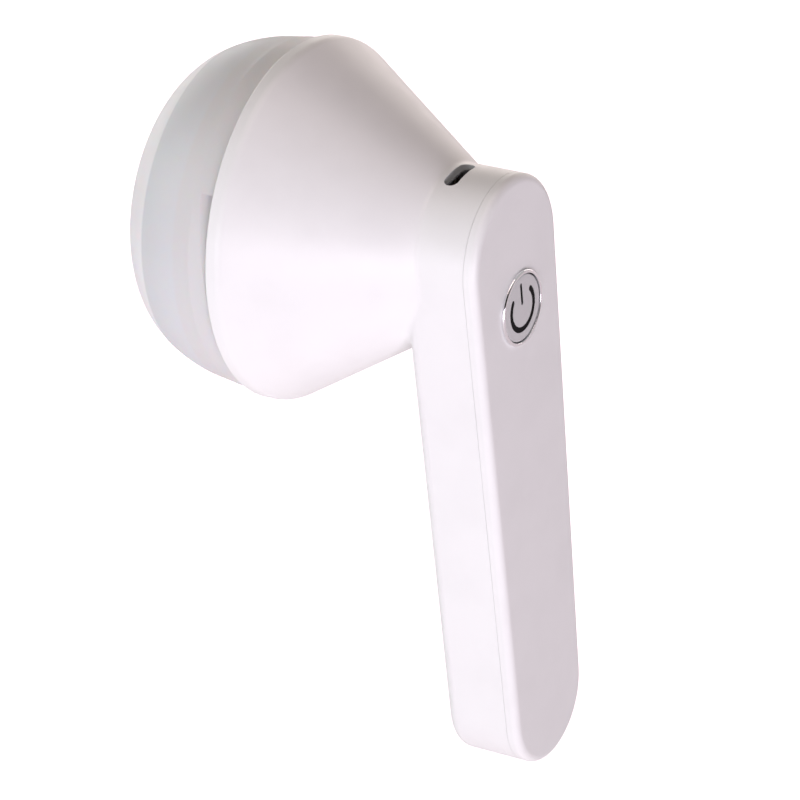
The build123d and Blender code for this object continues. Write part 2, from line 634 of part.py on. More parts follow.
def light_leads():
    """Pair of thin wires from the light ring, past the motor, through the bulkhead to the board."""
    pair = []
    for offset in (-0.55, 0.55):
        pair.append(lead([
            (PLATE_FRONT, 10.6 + offset, 11.4), (46.5, 10.6 + offset, 11.4),
            (54.0, 0.2 + offset, -6.2), (BOARD_FRONT, 0.2 + offset, -6.2)], 3.0, 0.45))
    return group(pair)


# ---- motor ----------------------------------------------------------------------------
def motor_can():
    can = can_solid(CAN_RADIUS, CAN_FLAT, CAN_FROM, CAN_TO)
    can -= can_solid(CAN_RADIUS - CAN_WALL, CAN_FLAT - CAN_WALL, CAN_FROM + CAN_WALL, CAN_TO + 1)
    can += rod_y(3.1, CAN_FROM - BEARING_BOSS, CAN_FROM + CAN_WALL + 0.8)
    return can - rod_y(2.2, CAN_FROM - 3, CAN_FROM + 4)


def motor_endcap():
    cap = can_solid(CAN_RADIUS, CAN_FLAT, CAN_TO, MOTOR_END)
    cap -= can_solid(CAN_RADIUS - CAN_WALL, CAN_FLAT - CAN_WALL, CAN_TO - 1, CAN_TO + 1.6)
    cap += rod_y(3.1, CAN_TO + 1.5, MOTOR_END + BEARING_BOSS)
    cap -= rod_y(2.2, CAN_TO + 1, MOTOR_END + 3)
    for side in (-1, 1):
        cap -= terminal(side)
    return cap


def motor_bearings():
    bore = SHAFT_RADIUS + RUNNING_GAP
    ends = ((CAN_FROM - BEARING_BOSS, CAN_FROM + 1.6), (CAN_TO + 1.5, MOTOR_END + BEARING_BOSS))
    return group([rod_y(2.2, low, high) - rod_y(bore, low - 1, high + 1) for low, high in ends])


def motor_magnets():
    """Two arc magnets, above and below the armature."""
    ring = rod_y(CAN_RADIUS - CAN_WALL - 0.02, CAN_FROM + 3.5, CAN_TO - 2)
    ring -= rod_y(MAGNET_INSIDE, CAN_FROM, CAN_TO)
    return group([ring & block(MOTOR_X - 5.5, MOTOR_X + 5.5, CAN_FROM, CAN_TO, low, low + 7)
                  for low in (3.5, -10.5)])


def terminal(side):
    return block(MOTOR_X + 4.6, MOTOR_X + CAN_FLAT + 2.2, CAN_TO + 0.2, CAN_TO + 1.2,
                 side * 2.95 - 0.2, side * 2.95 + 0.2)


def motor_terminals():
    return group([terminal(-1), terminal(1)])


def motor_brushes():
    return group([block(MOTOR_X - 3.5, MOTOR_X + 4.6, CAN_TO + 0.3, CAN_TO + 1.1,
                        side * 2.7 - 0.12, side * 2.7 + 0.12) for side in (-1, 1)])


def motor_shaft():
    shaft = rod_y(SHAFT_RADIUS, -SHAFT_HALF, SHAFT_HALF)
    return chamfer(shaft.edges().filter_by(GeomType.CIRCLE), 0.2)


def on_motor_axis(shape, angle):
    return Pos(MOTOR_X, 0, 0) * Rot(0, angle, 0) * Pos(-MOTOR_X, 0, 0) * shape


def armature_core():
    """Three laminated poles: a hub, straight arms and curved shoes."""
    rim = rod_y(ARMATURE_RADIUS, CORE_FROM, CORE_TO) - rod_y(5.0, CORE_FROM - 1, CORE_TO + 1)
    core = rod_y(2.3, CORE_FROM, CORE_TO)
    for angle in ARM_ANGLES:
        arm = block(MOTOR_X - ARM_HALF_WIDTH, MOTOR_X + ARM_HALF_WIDTH, CORE_FROM, CORE_TO, 0, 5.2)
        shoe = rim & block(MOTOR_X - 4.2, MOTOR_X + 4.2, CORE_FROM, CORE_TO, 2, 7)
        core += on_motor_axis(arm + shoe, angle)
    return core - rod_y(SHAFT_RADIUS, CORE_FROM - 1, CORE_TO + 1)


def armature_windings():
    coils = []
    for angle in ARM_ANGLES:
        coil = block(MOTOR_X - 1.95, MOTOR_X + 1.95, CORE_FROM - 0.9, CORE_TO + 0.9, 2.9, 4.5)
        coil -= block(MOTOR_X - ARM_HALF_WIDTH, MOTOR_X + ARM_HALF_WIDTH, CORE_FROM, CORE_TO, 2, 6)
        coils.append(on_motor_axis(coil, angle))
    return group(coils)


def commutator():
    barrel = rod_y(2.5, CORE_TO + 1.2, CAN_TO + 1.3)
    for angle in ARM_ANGLES:
        slot = block(MOTOR_X - 0.15, MOTOR_X + 0.15, CORE_TO, CAN_TO + 2, 2.1, 3)
        barrel -= on_motor_axis(slot, angle + 60)
    return barrel - rod_y(SHAFT_RADIUS, CORE_TO, CAN_TO + 2)


def eccentric_weights():
    """A half disc on each end of the shaft, hanging down at rest."""
    weights = []
    for low in (WEIGHT_FROM, -WEIGHT_FROM - WEIGHT_LENGTH):
        high = low + WEIGHT_LENGTH
        half = rod_y(WEIGHT_RADIUS, low, high) - block(
            MOTOR_X - 9, MOTOR_X + 9, low - 1, high + 1, 0, 9)
        weights.append(half + rod_y(2.6, low, high) - rod_y(SHAFT_RADIUS, low - 1, high + 1))
    return group(weights)


def motor_strap():
    """Steel strap over the motor's back, with an ear at each side on the pillars."""
    outer = can_solid(CAN_RADIUS, CAN_FLAT, -STRAP_HALF_WIDTH, STRAP_HALF_WIDTH, grow=STRAP + 0.03)
    back = MOTOR_X + CAN_RADIUS + 2
    strap = outer & block(PILLAR_BACK, back, -STRAP_HALF_WIDTH, STRAP_HALF_WIDTH, -14, 14)
    strap += block(PILLAR_BACK, PILLAR_BACK + STRAP, -STRAP_HALF_WIDTH, STRAP_HALF_WIDTH,
                   -PILLAR_Z - 2.6, PILLAR_Z + 2.6)
    strap -= can_solid(CAN_RADIUS, CAN_FLAT, -STRAP_HALF_WIDTH - 1, STRAP_HALF_WIDTH + 1, grow=0.03)
    for side in (-1, 1):
        strap -= rod_x(1.1, PILLAR_BACK - 1, PILLAR_BACK + 2, 0, side * PILLAR_Z)
    return strap


def strap_screws():
    screws = []
    seat = PILLAR_BACK + STRAP
    for side in (-1, 1):
        z = side * PILLAR_Z
        head = rod_x(1.9, seat, seat + 1.3, 0, z)
        slot = block(seat + 0.7, seat + 2, -1.2, 1.2, z - 0.25, z + 0.25)
        screws.append(head + rod_x(SCREW_RADIUS, PILLAR_BACK - 4, seat + 0.5, 0, z) - slot)
    return group(screws)


def motor_lead(side):
    """From a motor terminal through the bulkhead's hole to the connector on the board."""
    start_x = MOTOR_X + CAN_FLAT + 2.2
    plug_x = BOARD_FRONT - 1.6
    return lead([
        (start_x, CAN_TO + 0.7, side * 2.95), (start_x + 2.4, CAN_TO + 0.7, side * 2.95),
        (54.6, side * 1.1 + 0.5, -8.9 + side * 1.2), (58.8, side * 1.4, -9.6 + side * 0.9),
        (plug_x, side * 1.5, -13.6), (plug_x, side * 1.5, -21.5)], 1.5)


# ---- the parts ------------------------------------------------------------------------
def main():
    symbol = power_symbol()
    parts = {
        "massage_dome": massage_dome(),
        "body_shell": body_shell(),
        "back_cover": back_cover(),
        "cover_screws": cover_screws(),
        "button_ring": button_ring(),
        "power_button": power_button(symbol),
        "button_symbol": symbol,
        "switch_body": switch_body(),
        "switch_plunger": switch_plunger(),
        "main_board": main_board(),
        "board_components": board_components(),
        "board_screws": board_screws(),
        "usb_shell": usb_shell(),
        "usb_tongue": usb_tongue(),
        "motor_connector": plug_housing(-24.0, -19.0, -19.0),
        "battery_connector": plug_housing(-36.0, -31.0, -36.0),
        "battery_cell": battery_cell(),
        "battery_circuit": battery_circuit(),
        "battery_pads": battery_pads(),
        "battery_lead_red": battery_lead(1),
        "battery_lead_black": battery_lead(-1),
        "guide_bolts": guide_bolts(),
        "bolt_washers": bolt_washers(),
        "front_springs": front_springs(),
        "rear_springs": rear_springs(),
        "carriage": carriage(),
        "slide_bushes": slide_bushes(),
        "dome_seal": dome_seal(),
        "light_board": light_board(),
        "light_leds": light_leds(),
        "light_board_screws": light_board_screws(),
        "light_leads": light_leads(),
        "motor_can": motor_can(),
        "motor_endcap": motor_endcap(),
        "motor_bearings": motor_bearings(),
        "motor_magnets": motor_magnets(),
        "motor_brushes": motor_brushes(),
        "motor_terminals": motor_terminals(),
        "motor_strap": motor_strap(),
        "strap_screws": strap_screws(),
        "motor_lead_red": motor_lead(1),
        "motor_lead_black": motor_lead(-1),
        "motor_shaft": motor_shaft(),
        "armature_core": armature_core(),
        "armature_windings": armature_windings(),
        "commutator": commutator(),
        "eccentric_weights": eccentric_weights(),
    }
    os.makedirs("parts", exist_ok=True)
    for name, shape in parts.items():
        export_step(shape, f"parts/{name}.step")


main()
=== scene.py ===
import json
import math

import bmesh
import bpy
from mathutils import Matrix, Vector


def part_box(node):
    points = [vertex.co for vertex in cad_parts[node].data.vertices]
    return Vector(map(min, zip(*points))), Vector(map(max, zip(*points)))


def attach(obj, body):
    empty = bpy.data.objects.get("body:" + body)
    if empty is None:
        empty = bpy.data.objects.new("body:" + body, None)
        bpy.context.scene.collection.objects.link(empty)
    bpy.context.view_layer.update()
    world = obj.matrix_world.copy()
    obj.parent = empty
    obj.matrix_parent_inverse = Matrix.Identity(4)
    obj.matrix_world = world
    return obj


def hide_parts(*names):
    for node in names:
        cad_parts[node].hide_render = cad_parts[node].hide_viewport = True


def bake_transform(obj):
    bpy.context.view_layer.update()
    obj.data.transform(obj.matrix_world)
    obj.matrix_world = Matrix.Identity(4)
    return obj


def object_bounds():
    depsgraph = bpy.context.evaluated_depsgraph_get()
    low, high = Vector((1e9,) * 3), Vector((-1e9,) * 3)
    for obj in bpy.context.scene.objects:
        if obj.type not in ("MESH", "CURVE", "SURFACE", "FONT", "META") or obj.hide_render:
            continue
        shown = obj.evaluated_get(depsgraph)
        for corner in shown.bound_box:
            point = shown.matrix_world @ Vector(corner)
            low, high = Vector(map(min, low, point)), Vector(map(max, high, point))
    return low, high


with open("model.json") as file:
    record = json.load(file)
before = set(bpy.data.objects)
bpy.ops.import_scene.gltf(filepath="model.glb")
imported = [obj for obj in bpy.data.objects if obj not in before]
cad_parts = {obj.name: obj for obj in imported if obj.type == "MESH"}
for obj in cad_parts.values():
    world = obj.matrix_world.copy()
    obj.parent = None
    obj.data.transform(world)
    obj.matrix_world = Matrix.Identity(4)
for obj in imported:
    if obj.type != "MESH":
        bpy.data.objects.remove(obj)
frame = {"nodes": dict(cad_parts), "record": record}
scene = bpy.context.scene
cad_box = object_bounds()
MM = 0.001

# ---- camera ---------------------------------------------------------------------------
# The view is set from the centre of the handle's top arc, on the handle's front face.
VIEW_AZIMUTH, VIEW_ELEVATION, VIEW_ROLL = 32.875, 30.244, -5.28
VIEW_DISTANCE = 0.8767
VIEW_ASIDE, VIEW_UP = -0.01067, -0.02989
LENS = 204.4
HANDLE_THICK, TOP_ARC_RADIUS = 16.75 * MM, 16 * MM


def set_camera():
    cover_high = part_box("back_cover")[1]
    arc_centre = Vector((cover_high.x - HANDLE_THICK, 0, cover_high.z - TOP_ARC_RADIUS))
    azimuth, elevation, roll = (math.radians(a) for a in (VIEW_AZIMUTH, VIEW_ELEVATION, VIEW_ROLL))
    back = Vector((math.sin(azimuth) * math.cos(elevation),
                   -math.cos(azimuth) * math.cos(elevation), math.sin(elevation)))
    right = Vector((math.cos(azimuth), math.sin(azimuth), 0))
    up = back.cross(right)
    side = math.cos(roll) * right + math.sin(roll) * up
    top = -math.sin(roll) * right + math.cos(roll) * up
    camera = bpy.data.objects.new("camera", bpy.data.cameras.new("camera"))
    camera.data.lens = LENS
    camera.data.clip_end = 20
    place = arc_centre + back * VIEW_DISTANCE + right * VIEW_ASIDE + up * VIEW_UP
    turn = Matrix((side, top, back)).transposed().to_4x4()
    camera.matrix_world = Matrix.Translation(place) @ turn
    scene.collection.objects.link(camera)
    scene.camera = camera


# ---- light and floor ------------------------------------------------------------------
FLOOR_DROP = 0.12            # the object hangs this far above the floor
FLOOR_GLOW = (1.0, 0.841, 0.909)
FLOOR_GLOW_STRENGTH, FLOOR_SEEN = 0.44, 1.25
WORLD_GLOW, WORLD_MIRRORED, WORLD_AHEAD = 0.0, 0.48, 0.03
WORLD_DARKENS = (0.2, 0.7)   # between these cosines to the view's direction
LIGHT_TARGET = (0.04, 0, -0.03)
# name: place, width and height, power, colour
SOFT_LIGHTS = {
    "front": ((-0.15, -0.93, 0.06), (0.6, 0.5), 2.9, (0.937, 0.925, 1.0)),
    "key": ((0.42, -0.85, -0.02), (0.8, 0.5), 1.5, (0.96, 0.95, 1.0)),
    "right_low": ((0.75, -0.60, -0.05), (0.6, 0.35), 4.01, (0.978, 0.894, 1.0)),
    "left_high": ((-0.80, -0.35, 0.40), (0.6, 0.6), 2.2, (0.92, 1.0, 0.97)),
    "top": ((0.05, 0.0, 0.9), (0.8, 0.8), 3.55, (1.0, 0.84, 0.80)),
    "far": ((-0.1, 0.9, 0.05), (0.8, 0.6), 2.2, (1.0, 0.90, 0.86)),
    "left_far": ((-0.78, 0.50, 0.12), (0.8, 0.6), 1.8, (0.98, 1.0, 1.0)),
}


def soft_light(name, place, size, power, color):
    light = bpy.data.lights.new(name, "AREA")
    light.shape = "RECTANGLE"
    light.size, light.size_y = size
    light.energy = power
    light.color = color
    lamp = bpy.data.objects.new(name, light)
    lamp.location = place
    away = Vector(LIGHT_TARGET) - Vector(place)
    lamp.rotation_euler = away.to_track_quat("-Z", "Y").to_euler()
    scene.collection.objects.link(lamp)


def ray_strength(tree, seen, mirrored, lighting):
    """A strength that depends on whether the camera sees it, a gloss mirrors it or it lights."""
    path = tree.nodes.new("ShaderNodeLightPath")
    gloss = tree.nodes.new("ShaderNodeMapRange")
    strength = tree.nodes.new("ShaderNodeMapRange")
    gloss.inputs["To Min"].default_value = lighting
    if isinstance(mirrored, bpy.types.NodeSocket):
        tree.links.new(mirrored, gloss.inputs["To Max"])
    else:
        gloss.inputs["To Max"].default_value = mirrored
    strength.inputs["To Max"].default_value = seen
    tree.links.new(path.outputs["Is Glossy Ray"], gloss.inputs["Value"])
    tree.links.new(gloss.outputs["Result"], strength.inputs["To Min"])
    tree.links.new(path.outputs["Is Camera Ray"], strength.inputs["Value"])
    return strength.outputs["Result"]


def darker_ahead(tree):
    """What gloss mirrors of the white surroundings, darker on the camera's side."""
    ahead = tree.nodes.new("ShaderNodeVectorMath")
    ahead.operation = "DOT_PRODUCT"
    ahead.inputs[1].default_value = scene.camera.location.normalized()
    tree.links.new(tree.nodes.new("ShaderNodeTexCoord").outputs["Generated"], ahead.inputs[0])
    mirrored = tree.nodes.new("ShaderNodeMapRange")
    mirrored.inputs["From Min"].default_value = WORLD_DARKENS[0]
    mirrored.inputs["From Max"].default_value = WORLD_DARKENS[1]
    mirrored.inputs["To Min"].default_value = WORLD_MIRRORED
    mirrored.inputs["To Max"].default_value = WORLD_AHEAD
    tree.links.new(ahead.outputs["Value"], mirrored.inputs["Value"])
    return mirrored.outputs["Result"]


def studio():
    world = bpy.data.worlds.new("studio")
    scene.world = world
    world.use_nodes = True
    background = world.node_tree.nodes["Background"]
    background.inputs["Color"].default_value = (1, 0.99, 0.98, 1)
    mirrored = darker_ahead(world.node_tree)
    strength = ray_strength(world.node_tree, 1.0, mirrored, WORLD_GLOW)
    world.node_tree.links.new(strength, background.inputs["Strength"])
    for name, (place, size, power, color) in SOFT_LIGHTS.items():
        soft_light(name, place, size, power, color)
    scene.view_settings.view_transform = "Standard"


def floor():
    """A white floor under the object, clear from below."""
    bpy.ops.mesh.primitive_plane_add(size=8, location=(0, 0, cad_box[0].z - FLOOR_DROP))
    plane = bpy.context.object
    plane.name = "floor"
    material = bpy.data.materials.new("floor_white")
    material.use_nodes = True
    tree = material.node_tree
    shader = tree.nodes["Principled BSDF"]
    shader.inputs["Base Color"].default_value = (0.5, 0.5, 0.5, 1)
    shader.inputs["Roughness"].default_value = 0.9
    shader.inputs["Emission Color"].default_value = (*FLOOR_GLOW, 1)
    strength = ray_strength(tree, FLOOR_SEEN, FLOOR_GLOW_STRENGTH, FLOOR_GLOW_STRENGTH)
    tree.links.new(strength, shader.inputs["Emission Strength"])
    below = tree.nodes.new("ShaderNodeBsdfTransparent")
    side = tree.nodes.new("ShaderNodeNewGeometry")
    mix = tree.nodes.new("ShaderNodeMixShader")
    tree.links.new(side.outputs["Backfacing"], mix.inputs["Fac"])
    tree.links.new(shader.outputs["BSDF"], mix.inputs[1])
    tree.links.new(below.outputs["BSDF"], mix.inputs[2])
    tree.links.new(mix.outputs["Shader"], tree.nodes["Material Output"].inputs["Surface"])
    plane.data.materials.append(material)


# ---- materials: the tools -------------------------------------------------------------
WAVE_LENGTH = 0.314          # a wave texture of scale 1 repeats at this distance
NOISE_LOW, NOISE_HIGH = 0.3, 0.7   # where most of a noise's values lie


class Finish:
    """A Principled material whose patterns lie in the object's own coordinates, in metres."""

    def __init__(self, name, color, roughness, **sockets):
        self.material = bpy.data.materials.new(name)
        self.material.use_nodes = True
        self.tree = self.material.node_tree
        self.shader = self.tree.nodes["Principled BSDF"]
        self.shader.inputs["Base Color"].default_value = (*color, 1)
        self.shader.inputs["Roughness"].default_value = roughness
        for socket, value in sockets.items():
            self.shader.inputs[socket.replace("_", " ")].default_value = value
        self.color = color
        self.color_link = None
        self.place = self.node("ShaderNodeTexCoord").outputs["Object"]

    def node(self, kind, inputs=None, **settings):
        made = self.tree.nodes.new(kind)
        for name, value in settings.items():
            setattr(made, name, value)
        for socket, value in (inputs or {}).items():
            if isinstance(value, bpy.types.NodeSocket):
                self.tree.links.new(value, made.inputs[socket])
            else:
                made.inputs[socket].default_value = value
        return made

    def stretched(self, stretch):
        """The coordinates, divided by stretch, so that patterns grow by it along each axis."""
        return self.node("ShaderNodeMapping", {
            "Vector": self.place, "Scale": tuple(1 / s for s in stretch)}).outputs["Vector"]

    def noise(self, size, detail=2.0, stretch=(1, 1, 1)):
        """Soft random pattern with blobs about size across."""
        return self.node("ShaderNodeTexNoise", {
            "Vector": self.stretched(stretch), "Scale": 1 / size, "Detail": detail}).outputs[0]

    def cells(self, size):
        """Distance from the middle of random cells about size across."""
        return self.node("ShaderNodeTexVoronoi", {
            "Vector": self.place, "Scale": 1 / size}).outputs["Distance"]

    def lines(self, size, axis):
        """Parallel ridges, size apart along an axis."""
        return self.node("ShaderNodeTexWave", {
            "Vector": self.place, "Scale": WAVE_LENGTH / size},
            bands_direction=axis).outputs["Fac"]

    def along(self, axis, start, end):
        """0 before start and 1 after end along an axis, with a smooth step between."""
        split = self.node("ShaderNodeSeparateXYZ", {"Vector": self.place})
        return self.between(split.outputs[axis], start, end)

    def between(self, value, start, end):
        """0 where the value is start and 1 where it is end, with a smooth step between."""
        return self.node("ShaderNodeMapRange", {
            "Value": value, "From Min": start, "From Max": end},
            interpolation_type="SMOOTHSTEP").outputs["Result"]

    def blend_color(self, factor, other):
        """The colour so far turns into another one where the factor is 1."""
        mix = self.node("ShaderNodeMix", data_type="RGBA")
        self.tree.links.new(factor, mix.inputs["Factor"])
        so_far, added, result = mix.inputs[6], mix.inputs[7], mix.outputs[2]
        added.default_value = (*other, 1)
        if self.color_link:
            self.tree.links.new(self.color_link, so_far)
        else:
            so_far.default_value = (*self.color, 1)
        self.color_link = result
        self.tree.links.new(result, self.shader.inputs["Base Color"])
        return self

    def vary(self, socket, factor, low, high):
        """A number of the shader goes from low to high with a noise."""
        result = self.node("ShaderNodeMapRange", {
            "Value": factor, "From Min": NOISE_LOW, "From Max": NOISE_HIGH,
            "To Min": low, "To Max": high}).outputs["Result"]
        self.tree.links.new(result, self.shader.inputs[socket])
        return self

    def relief(self, height, depth):
        """Bump of a real depth in metres, over any bump given before."""
        normal = self.shader.inputs["Normal"]
        bump = self.node("ShaderNodeBump", {"Height": height, "Distance": depth})
        if normal.is_linked:
            self.tree.links.new(normal.links[0].from_socket, bump.inputs["Normal"])
        self.tree.links.new(bump.outputs["Normal"], normal)
        return self


def shade(color, factor):
    return tuple(min(1.0, channel * factor) for channel in color)


def moulded(name, color, roughness, grain=0.25, depth=0.004, **sockets):
    """Injection-moulded plastic: faint sink marks and a fine texture, given in millimetres."""
    finish = Finish(name, color, roughness, **sockets)
    finish.blend_color(finish.between(finish.noise(11 * MM, 3), 0.35, 0.75), shade(color, 0.975))
    finish.vary("Roughness", finish.noise(3.5 * MM, 4), roughness - 0.04, roughness + 0.05)
    finish.relief(finish.noise(16 * MM, 1), 0.05 * MM)
    finish.relief(finish.noise(grain * MM, 3), depth * MM)
    return finish


def brushed(name, color, roughness, stretch, metallic=1.0, depth=0.004, **sockets):
    """Metal with fine lines along the axis that stretch makes long, and dull patches."""
    finish = Finish(name, color, roughness, Metallic=metallic, **sockets)
    lines = finish.noise(0.12 * MM, 3, stretch)
    finish.blend_color(finish.between(lines, 0.35, 0.75), shade(color, 0.86))
    finish.vary("Roughness", finish.noise(2.5 * MM, 4, stretch), roughness - 0.08, roughness + 0.1)
    finish.relief(lines, depth * MM)
    return finish


def rough_metal(name, color, roughness, grain, depth):
    """Cast, sintered or ground metal with pores and stains."""
    finish = Finish(name, color, roughness, Metallic=0.85)
    finish.blend_color(finish.between(finish.noise(2.2 * MM, 5), 0.4, 0.7), shade(color, 0.72))
    finish.blend_color(finish.between(finish.cells(grain * MM), 0.28, 0.1), shade(color, 0.5))
    finish.vary("Roughness", finish.noise(1.4 * MM, 4), roughness - 0.1, roughness + 0.12)
    finish.relief(finish.noise(grain * MM, 4), depth * MM)
    return finish


def rubbery(name, color, roughness):
    """Insulation or silicone: dull, slightly mottled, with fine drawing marks."""
    finish = Finish(name, color, roughness)
    finish.blend_color(finish.between(finish.noise(2.5 * MM, 3), 0.4, 0.75), shade(color, 1.25))
    finish.vary("Roughness", finish.noise(1.5 * MM, 3), roughness - 0.1, roughness + 0.1)
    finish.relief(finish.noise(0.2 * MM, 2), 0.006 * MM)
    return finish


def circuit_board(name, color, track):
    """Solder mask over copper tracks that run in steps, with a weave under it."""
    finish = Finish(name, color, 0.3, Coat_Weight=0.35, Coat_Roughness=0.12)
    tracks = finish.node("ShaderNodeTexVoronoi", {
        "Vector": finish.stretched((30, 1, 1)), "Scale": 1 / (1.9 * MM), "Randomness": 0.8},
        feature="F2", distance="CHEBYCHEV").outputs["Distance"]
    edge = finish.between(finish.lines(0.62 * MM, "Z"), 0.55, 0.75)
    copper = finish.node("ShaderNodeMath", {0: finish.between(tracks, 0.62, 0.66), 1: edge},
                         operation="MULTIPLY").outputs["Value"]
    finish.blend_color(copper, track)
    finish.blend_color(finish.between(finish.noise(6 * MM, 3), 0.45, 0.8), shade(color, 0.8))
    finish.vary("Roughness", finish.noise(1.2 * MM, 3), 0.24, 0.38)
    finish.relief(copper, 0.03 * MM)
    return finish


# ---- materials: one for each slot of the record ---------------------------------------
WHITE = (0.852, 0.866, 0.856)
SPIGOT_FRONT_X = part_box("carriage")[0].x
THICK_FRONT = 8 * MM         # the dome's front is thicker from its face to here
PAINTED_FRONT_STEP, PAINTED_SPIGOT_STEP = 0.35 * MM, 0.5 * MM   # how soft the painted steps of light and shade look, to each side


def frosted_dome():
    """Frosted plastic whose colour steps along X are painted light: a painted glow over the thick
    front, painted shade behind it, and a less blue painted shade from the spigot's front back.
    """
    # Painted light: the first two colours are painted shade, the last one a painted glow.
    empty, backed_painted_shade, thick = (0.75, 0.775, 0.785), (0.75, 0.755, 0.75), (0.98, 0.99, 0.99)
    finish = Finish("dome_frosted", thick, 0.42, IOR=1.49, Transmission_Weight=0.14,
                    Subsurface_Weight=0.25, Subsurface_Scale=0.002)
    # Painted light and shade in steps along X, standing in for light through the thick front and
    # past the spigot.
    painted_shade_behind_face = finish.along("X", THICK_FRONT - PAINTED_FRONT_STEP, THICK_FRONT + PAINTED_FRONT_STEP)
    finish.blend_color(painted_shade_behind_face, empty)
    painted_shade_over_spigot = finish.along("X", SPIGOT_FRONT_X - PAINTED_SPIGOT_STEP, SPIGOT_FRONT_X + PAINTED_SPIGOT_STEP)
    finish.blend_color(painted_shade_over_spigot, backed_painted_shade)
    finish.vary("Roughness", finish.noise(3 * MM, 4), 0.38, 0.48)
    finish.relief(finish.noise(0.3 * MM, 3), 0.004 * MM)
    finish.relief(finish.noise(14 * MM, 1), 0.05 * MM)
    return finish


def chrome_ring():
    finish = Finish("ring_chrome", (0.86, 0.86, 0.875), 0.07, Metallic=1.0)
    finish.vary("Roughness", finish.noise(1.2 * MM, 4), 0.04, 0.12)
    finish.relief(finish.noise(0.08 * MM, 2, (1, 1, 12)), 0.0006 * MM)
    return finish


def silver_cap():
    """Satin silver paint with a fine flake in it."""
    silver = (0.63, 0.645, 0.645)
    finish = Finish("button_silver", silver, 0.36, Metallic=0.15, Coat_Weight=0.2,
                    Coat_Roughness=0.2)
    finish.blend_color(finish.between(finish.cells(0.09 * MM), 0.3, 0.1), shade(silver, 1.1))
    finish.vary("Roughness", finish.noise(1.5 * MM, 4), 0.3, 0.44)
    finish.relief(finish.noise(0.1 * MM, 2), 0.002 * MM)
    return finish


def gloss_black():
    finish = Finish("symbol_black", (0.003, 0.003, 0.004), 0.3, Specular_IOR_Level=0.03)
    finish.blend_color(finish.between(finish.noise(0.6 * MM, 5), 0.6, 0.85), (0.012, 0.012, 0.014))
    finish.vary("Roughness", finish.noise(0.8 * MM, 4), 0.18, 0.34)
    finish.relief(finish.noise(0.15 * MM, 2), 0.002 * MM)
    return finish


def pouch_foil():
    """Aluminium laminate: crinkled and bright, with a satin outer film."""
    finish = brushed("battery_foil", (0.74, 0.75, 0.77), 0.34, (1, 1, 14), 0.9, 0.002,
                     Coat_Weight=0.3, Coat_Roughness=0.25)
    finish.relief(finish.noise(5 * MM, 3), 0.12 * MM)
    return finish


def pad_foam():
    """Closed-cell foam: round pores between thin walls, with painted shade in the pore hollows and
    painted light on the walls.
    """
    grey = (0.11, 0.11, 0.118)
    finish = Finish("foam_grey", grey, 0.92, Sheen_Weight=0.25, Sheen_Roughness=0.6)
    pore_depth_and_shade = finish.cells(0.32 * MM)
    # Painted shade: the pore hollows are darker and the walls between them lighter.
    finish.blend_color(finish.between(pore_depth_and_shade, 0.15, 0.5), shade(grey, 1.9))
    finish.vary("Roughness", finish.noise(1 * MM, 3), 0.82, 0.98)
    finish.relief(pore_depth_and_shade, 0.09 * MM)
    return finish


def led_phosphor():
    yellow = (0.92, 0.72, 0.22)
    finish = Finish("led_yellow", yellow, 0.28, Coat_Weight=0.6, Coat_Roughness=0.08,
                    Subsurface_Weight=0.3, Subsurface_Scale=0.0006)
    finish.blend_color(finish.between(finish.noise(0.22 * MM, 3), 0.45, 0.7), shade(yellow, 0.86))
    finish.vary("Roughness", finish.noise(0.5 * MM, 2), 0.2, 0.36)
    finish.relief(finish.noise(0.2 * MM, 2), 0.004 * MM)
    return finish


def laminated_core():
    """Stacked steel sheets, each 0.35 mm, across the motor's axis."""
    finish = rough_metal("core_steel", (0.40, 0.40, 0.42), 0.45, 0.3, 0.006)
    sheets = finish.lines(0.35 * MM, "Y")
    finish.blend_color(finish.between(sheets, 0.25, 0.05), (0.08, 0.075, 0.07))
    finish.relief(sheets, 0.03 * MM)
    return finish


def enamelled_copper():
    finish = Finish("winding_copper", (0.78, 0.30, 0.11), 0.25, Metallic=1.0, Coat_Weight=0.7,
                    Coat_Roughness=0.1, Coat_Tint=(1.0, 0.82, 0.6, 1))
    finish.blend_color(finish.between(finish.noise(0.8 * MM, 4), 0.4, 0.75), (0.52, 0.17, 0.06))
    finish.vary("Roughness", finish.noise(0.5 * MM, 3), 0.18, 0.34)
    finish.relief(finish.noise(0.12 * MM, 2), 0.003 * MM)
    return finish


